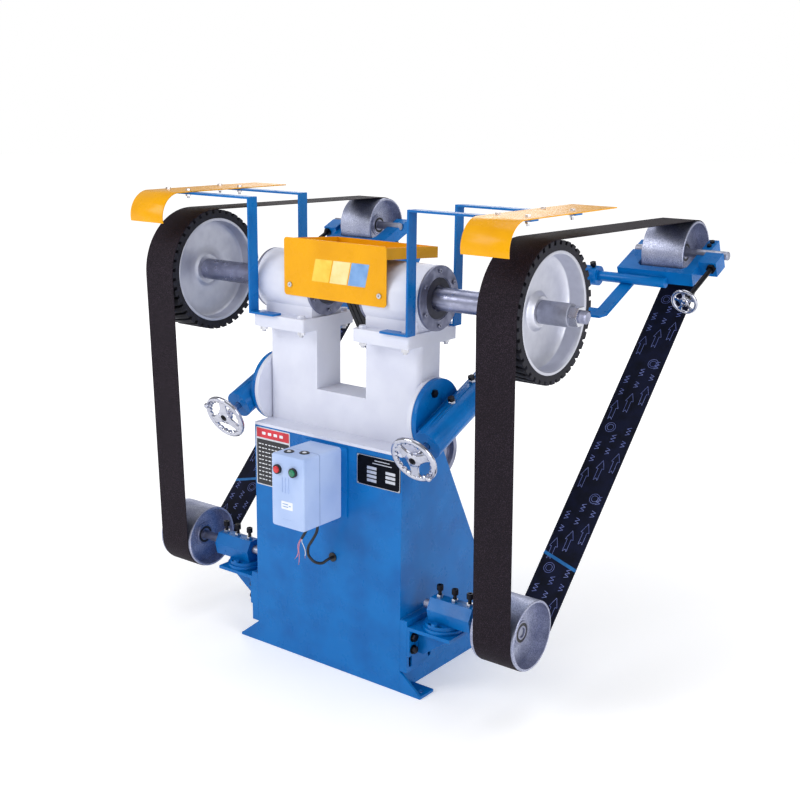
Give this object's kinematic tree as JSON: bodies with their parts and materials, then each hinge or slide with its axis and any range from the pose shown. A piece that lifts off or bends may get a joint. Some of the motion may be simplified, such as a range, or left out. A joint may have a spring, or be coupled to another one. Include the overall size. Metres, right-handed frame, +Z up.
{
  "type": "belt grinder",
  "caption": "Pedestal belt grinder with a serrated contact wheel, abrasive belt, lower drum and tensioned rear idler at each end of one spindle.",
  "frame": {"origin": "on the floor, in the middle of the four holding-down holes of the pedestal feet", "axes": "+Z up, +X along the spindle towards the right station, -Y towards the operator"},
  "size_m": [1.488, 1.1702, 1.3065],
  "materials": {
    "blue_paint": "semi-gloss blue enamel",
    "white_paint": "semi-gloss white enamel on a casting",
    "yellow_paint": "gloss yellow enamel on sheet",
    "grey_iron": "machined grey iron",
    "steel": "turned bright steel",
    "black_steel": "black oxide fasteners",
    "zinc_steel": "zinc plated fasteners",
    "chrome": "polished chrome plate",
    "aluminium": "cast and turned aluminium",
    "tyre_rubber": "serrated black rubber",
    "abrasive": "resin-bonded abrasive cloth, dark brown grain",
    "belt_rubber": "black V-belt rubber",
    "motor_paint": "grey motor enamel",
    "box_plastic": "pale blue-grey powder coat",
    "black_plastic": "black moulded plastic",
    "red_plastic": "red button cap",
    "green_plastic": "green button cap",
    "plate_metal": "black anodised rating plate with a silver border",
    "cable_jacket": "black cable jacket"
  },
  "bodies": {
    "frame": {"pedestal": "blue_paint", "floor_feet": "blue_paint", "yoke_casting": "white_paint", "m10_bolts": "blue_paint", "bearing_housings": "white_paint", "housing_bolts": "zinc_steel", "bearing_covers": "grey_iron", "cover_screws": "zinc_steel", "spindle_bearings": "steel", "belt_guard": "yellow_paint", "wheel_guards": "yellow_paint", "guard_brackets": "blue_paint", "guard_bolts": "zinc_steel", "side_slot_plates": "blue_paint", "drum_shelves": "blue_paint", "shelf_bolts": "black_steel", "swivel_discs": "blue_paint", "drum_blocks": "blue_paint", "block_set_screws": "black_steel", "block_lock_nuts": "zinc_steel", "drum_axles": "steel", "arm_sockets": "blue_paint", "arm_bolts": "black_steel", "motor_body": "motor_paint", "motor_base": "blue_paint", "v_belts": "belt_rubber", "left_abrasive_belt": "abrasive", "right_abrasive_belt": "abrasive", "starter_box": "box_plastic", "starter_plate": "blue_paint", "button_collars": "black_plastic", "rating_plate": "plate_metal", "cable_glands": "black_plastic", "control_cable": "cable_jacket", "supply_lead": "cable_jacket"},
    "spindle": {"spindle_shaft": "steel", "spindle_pulley": "grey_iron", "contact_wheel_hubs": "aluminium", "contact_wheel_tyres": "tyre_rubber", "wheel_spacers": "steel", "wheel_nuts": "steel"},
    "motor_rotor": {"motor_pulley": "grey_iron"},
    "start_button": {"start_button": "green_plastic"},
    "stop_button": {"stop_button": "red_plastic"},
    "right_lower_drum": {"right_lower_drum": "aluminium"},
    "right_slide": {"right_slide_tube": "blue_paint", "right_idler_fork": "blue_paint", "right_fork_fasteners": "black_steel"},
    "right_tension_screw": {"right_tension_handwheel": "chrome"},
    "right_idler_carrier": {"right_idler_axle": "steel"},
    "right_idler": {"right_idler_drum": "aluminium"},
    "right_tracking_screw": {"right_tracking_handwheel": "chrome"},
    "left_lower_drum": {"left_lower_drum": "aluminium"},
    "left_slide": {"left_slide_tube": "blue_paint", "left_idler_fork": "blue_paint", "left_fork_fasteners": "black_steel"},
    "left_tension_screw": {"left_tension_handwheel": "chrome"},
    "left_idler_carrier": {"left_idler_axle": "steel"},
    "left_idler": {"left_idler_drum": "aluminium"},
    "left_tracking_screw": {"left_tracking_handwheel": "chrome"}
  },
  "joints": [
    {"name": "spindle_spin", "type": "hinge", "parent": "frame", "child": "spindle", "pos_m": [0, -0.146, 1.066], "axis": [1, 0, 0], "continuous": true},
    {"name": "motor_spin", "type": "hinge", "parent": "frame", "child": "motor_rotor", "pos_m": [0.032, 0.207, 0.532], "axis": [1, 0, 0], "continuous": true},
    {"name": "right_lower_drum_spin", "type": "hinge", "parent": "frame", "child": "right_lower_drum", "pos_m": [0.57, -0.205, 0.253], "axis": [1, 0, 0], "continuous": true},
    {"name": "right_tension", "type": "slide", "parent": "frame", "child": "right_slide", "axis": [0, 0.9135, 0.4067], "range_m": [-0.06, 0]},
    {"name": "right_tension_handwheel_turn", "type": "hinge", "parent": "frame", "child": "right_tension_screw", "pos_m": [0.332, -0.166, 0.7465], "axis": [0, 0.9135, 0.4067], "range_deg": [-5400, 0]},
    {"name": "right_tracking", "type": "hinge", "parent": "right_slide", "child": "right_idler_carrier", "pos_m": [0.461, 0.64521, 1.13723], "axis": [0, -0.4067, 0.9135], "range_deg": [-0.35, 0.35]},
    {"name": "right_tracking_handwheel_turn", "type": "hinge", "parent": "right_slide", "child": "right_tracking_screw", "pos_m": [0.706, 0.64521, 1.13723], "axis": [0, 0.9135, 0.4067], "range_deg": [-360, 360]},
    {"name": "right_idler_spin", "type": "hinge", "parent": "right_idler_carrier", "child": "right_idler", "pos_m": [0.565, 0.64521, 1.13723], "axis": [1, 0, 0], "continuous": true},
    {"name": "left_lower_drum_spin", "type": "hinge", "parent": "frame", "child": "left_lower_drum", "pos_m": [-0.57, -0.205, 0.253], "axis": [1, 0, 0], "continuous": true},
    {"name": "left_tension", "type": "slide", "parent": "frame", "child": "left_slide", "axis": [0, 0.9135, 0.4067], "range_m": [-0.06, 0]},
    {"name": "left_tension_handwheel_turn", "type": "hinge", "parent": "frame", "child": "left_tension_screw", "pos_m": [-0.332, -0.166, 0.7465], "axis": [0, 0.9135, 0.4067], "range_deg": [-5400, 0]},
    {"name": "left_tracking", "type": "hinge", "parent": "left_slide", "child": "left_idler_carrier", "pos_m": [-0.461, 0.64521, 1.13723], "axis": [0, 0.4067, -0.9135], "range_deg": [-0.35, 0.35]},
    {"name": "left_tracking_handwheel_turn", "type": "hinge", "parent": "left_slide", "child": "left_tracking_screw", "pos_m": [-0.706, 0.64521, 1.13723], "axis": [0, 0.9135, 0.4067], "range_deg": [-360, 360]},
    {"name": "left_idler_spin", "type": "hinge", "parent": "left_idler_carrier", "child": "left_idler", "pos_m": [-0.565, 0.64521, 1.13723], "axis": [1, 0, 0], "continuous": true},
    {"name": "start_press", "type": "slide", "parent": "frame", "child": "start_button", "axis": [0, 1, 0], "range_m": [0, 0.003], "stiffness_N_per_m": 600},
    {"name": "stop_press", "type": "slide", "parent": "frame", "child": "stop_button", "axis": [0, 1, 0], "range_m": [0, 0.003], "stiffness_N_per_m": 600}
  ],
  "couplings": [
    {"joint": "motor_spin", "follows": "spindle_spin", "ratio": 0.6667},
    {"joint": "right_lower_drum_spin", "follows": "spindle_spin", "ratio": 1.9022},
    {"joint": "right_tension_handwheel_turn", "follows": "right_tension", "rad_per_m": 1570.8},
    {"joint": "right_tracking_handwheel_turn", "follows": "right_tracking", "ratio": 1026.2},
    {"joint": "right_idler_spin", "follows": "spindle_spin", "ratio": 1.9022},
    {"joint": "left_lower_drum_spin", "follows": "spindle_spin", "ratio": 1.9022},
    {"joint": "left_tension_handwheel_turn", "follows": "left_tension", "rad_per_m": 1570.8},
    {"joint": "left_tracking_handwheel_turn", "follows": "left_tracking", "ratio": 1026.2},
    {"joint": "left_idler_spin", "follows": "spindle_spin", "ratio": 1.9022}
  ]
}
